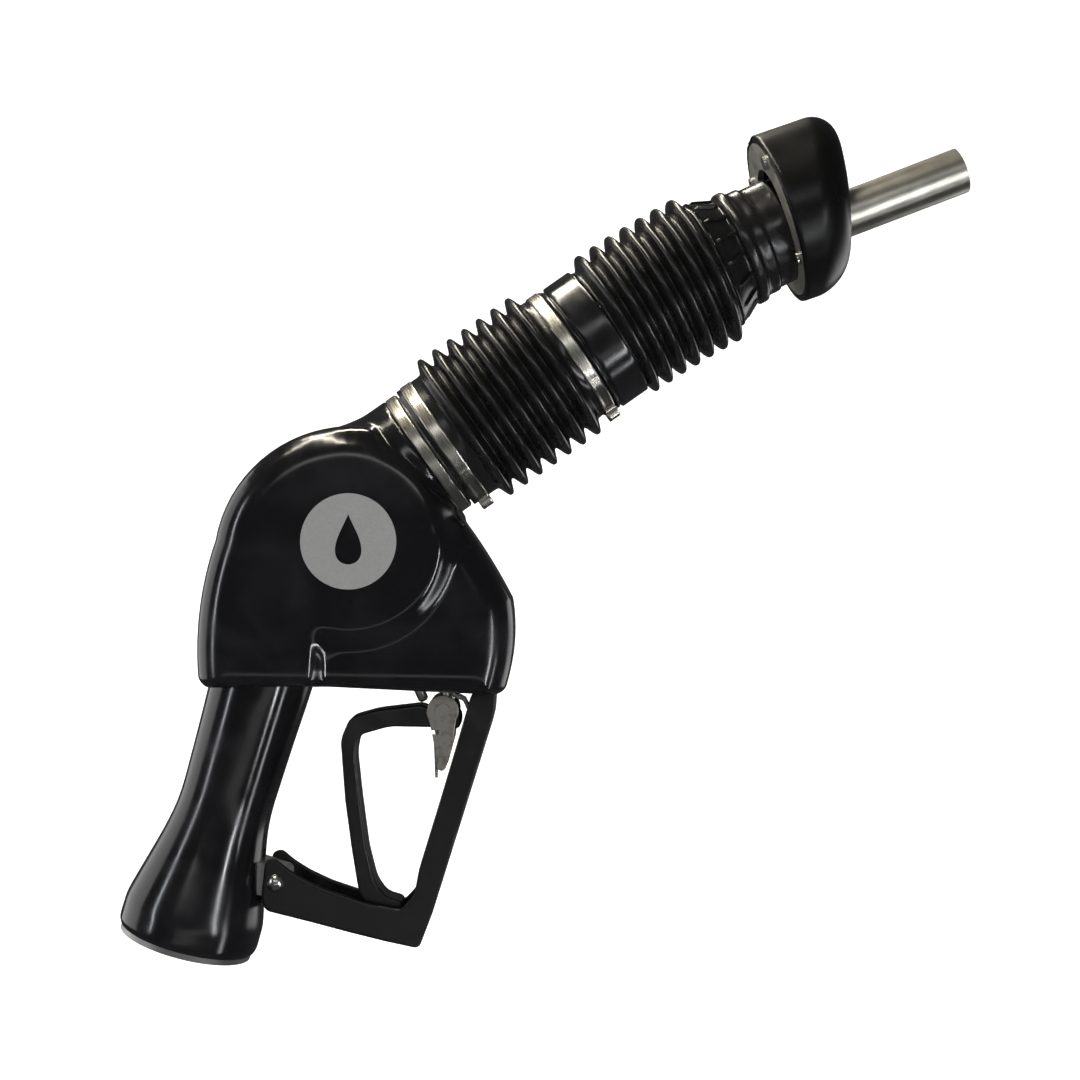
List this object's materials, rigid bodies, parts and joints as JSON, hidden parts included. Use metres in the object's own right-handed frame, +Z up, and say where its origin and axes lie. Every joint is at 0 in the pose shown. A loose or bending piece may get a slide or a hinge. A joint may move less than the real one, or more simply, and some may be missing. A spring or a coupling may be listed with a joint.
{
  "type": "fuel nozzle",
  "caption": "Automatic fuel dispensing nozzle with a hand lever in a guard, a two-stage vapour-recovery bellows, a wedge-shaped face seal and a bent metal spout.",
  "frame": {"origin": "centre of the hose inlet's mouth, on the nozzle's plane of symmetry", "axes": "+X towards the spout, +Y across the nozzle along the lever's pin, +Z up as the nozzle is held; the inlet's axis leans back from -Z"},
  "size_m": [0.382, 0.0774, 0.3799],
  "materials": {
    "cast_metal": "cast, satin",
    "black_vinyl": "glossy",
    "black_rubber": "smooth moulded",
    "black_plastic": "glossy",
    "stainless": "brushed",
    "spring_steel": "drawn",
    "plated_steel": "bright plated",
    "black_coated_steel": "satin",
    "brass": "turned",
    "grey_plate": "matte",
    "silver_print": "printed"
  },
  "bodies": {
    "housing": {"body_casting": "cast_metal", "body_cover": "black_vinyl", "hand_grip_cover": "black_vinyl", "body_cap": "cast_metal", "body_cap_seal": "black_rubber", "body_cap_screws": "plated_steel", "emblem_disc": "silver_print", "fuel_tube": "stainless", "inlet_strainer": "plated_steel", "hose_seal": "black_rubber", "fuel_tube_spider": "cast_metal", "main_seat": "brass", "stem_gland": "brass", "valve_cage": "cast_metal", "main_spring": "spring_steel", "plunger_guide": "brass", "diaphragm_cover": "cast_metal", "diaphragm_spring": "spring_steel", "spout_adapter": "brass", "check_keeper": "cast_metal", "check_spring": "spring_steel", "vapour_seat": "brass", "vapour_spring": "spring_steel", "neck_collar": "stainless", "rear_clamp": "stainless", "rear_bellows": "black_rubber", "rear_bellows_spring": "spring_steel", "spout_tube": "stainless", "sensing_tube": "stainless", "spout_tip_ring": "stainless", "sensing_block": "brass", "guard": "black_coated_steel", "guard_rivet": "plated_steel", "catch_strip": "plated_steel"},
    "main_valve": {"valve_stem": "stainless", "main_poppet": "brass", "main_seal": "black_rubber"},
    "plunger": {"trip_plunger": "stainless", "trip_rollers": "brass"},
    "shut_off": {"diaphragm": "black_rubber", "diaphragm_plate": "plated_steel", "latch_pin": "brass"},
    "lever_arm": {"lever": "black_coated_steel", "lever_pin": "plated_steel", "latch_rivets": "plated_steel"},
    "latch": {"hold_open_latch": "plated_steel", "latch_wire": "spring_steel"},
    "check_valve": {"check_poppet": "brass"},
    "vapour_sleeve": {"vapour_valve": "brass", "vapour_seal": "black_rubber"},
    "middle": {"middle_clamp": "stainless", "connector_ring": "black_plastic", "front_bellows": "black_rubber", "front_bellows_spring": "spring_steel"},
    "nose": {"nose_boot": "black_rubber", "nose_band": "black_plastic", "face_cup": "black_rubber", "face_plate": "grey_plate", "face_screws": "plated_steel"}
  },
  "joints": [
    {"name": "plunger_trip", "type": "slide", "parent": "housing", "child": "plunger", "axis": [0, 0, -1], "range_m": [0, 0.004], "stiffness_N_per_m": 900},
    {"name": "lever_squeeze", "type": "hinge", "parent": "plunger", "child": "lever_arm", "pos_m": [0.1195, 0, 0.1005], "axis": [0, 1, 0], "range_deg": [0, 18], "stiffness_Nm_per_rad": 1.5, "springref_deg": -11.46},
    {"name": "latch_swing", "type": "hinge", "parent": "lever_arm", "child": "latch", "pos_m": [0.1163, 0, 0.1045], "axis": [0, 1, 0], "range_deg": [-1, 22]},
    {"name": "main_valve_lift", "type": "slide", "parent": "housing", "child": "main_valve", "axis": [-0.4226, 0, 0.9063], "range_m": [0, 0.005], "deforming": ["main_spring"]},
    {"name": "diaphragm_pull", "type": "slide", "parent": "housing", "child": "shut_off", "axis": [0, 0, 1], "range_m": [0, 0.003], "stiffness_N_per_m": 300, "springref_m": -0.001, "deforming": ["diaphragm_spring", "diaphragm"]},
    {"name": "check_valve_open", "type": "slide", "parent": "housing", "child": "check_valve", "axis": [0.8202, 0, 0.5721], "range_m": [0, 0.003], "stiffness_N_per_m": 200, "springref_m": -0.001, "deforming": ["check_spring"]},
    {"name": "bellows_press", "type": "slide", "parent": "housing", "child": "middle", "axis": [-0.8202, 0, -0.5721], "range_m": [0, 0.016], "stiffness_N_per_m": 1200, "springref_m": -0.004, "deforming": ["rear_bellows", "rear_bellows_spring"]},
    {"name": "face_press", "type": "slide", "parent": "middle", "child": "nose", "axis": [-0.9342, 0, -0.3567], "range_m": [0, 0.014], "deforming": ["front_bellows", "front_bellows_spring"]},
    {"name": "vapour_valve_open", "type": "slide", "parent": "housing", "child": "vapour_sleeve", "axis": [-0.8202, 0, -0.5721], "range_m": [0, 0.006], "deforming": ["vapour_spring"]}
  ],
  "couplings": [
    {"joint": "main_valve_lift", "follows": "lever_squeeze", "m_per_rad": 0.0155},
    {"joint": "face_press", "follows": "bellows_press", "ratio": 0.875},
    {"joint": "vapour_valve_open", "follows": "bellows_press", "ratio": 0.375}
  ]
}
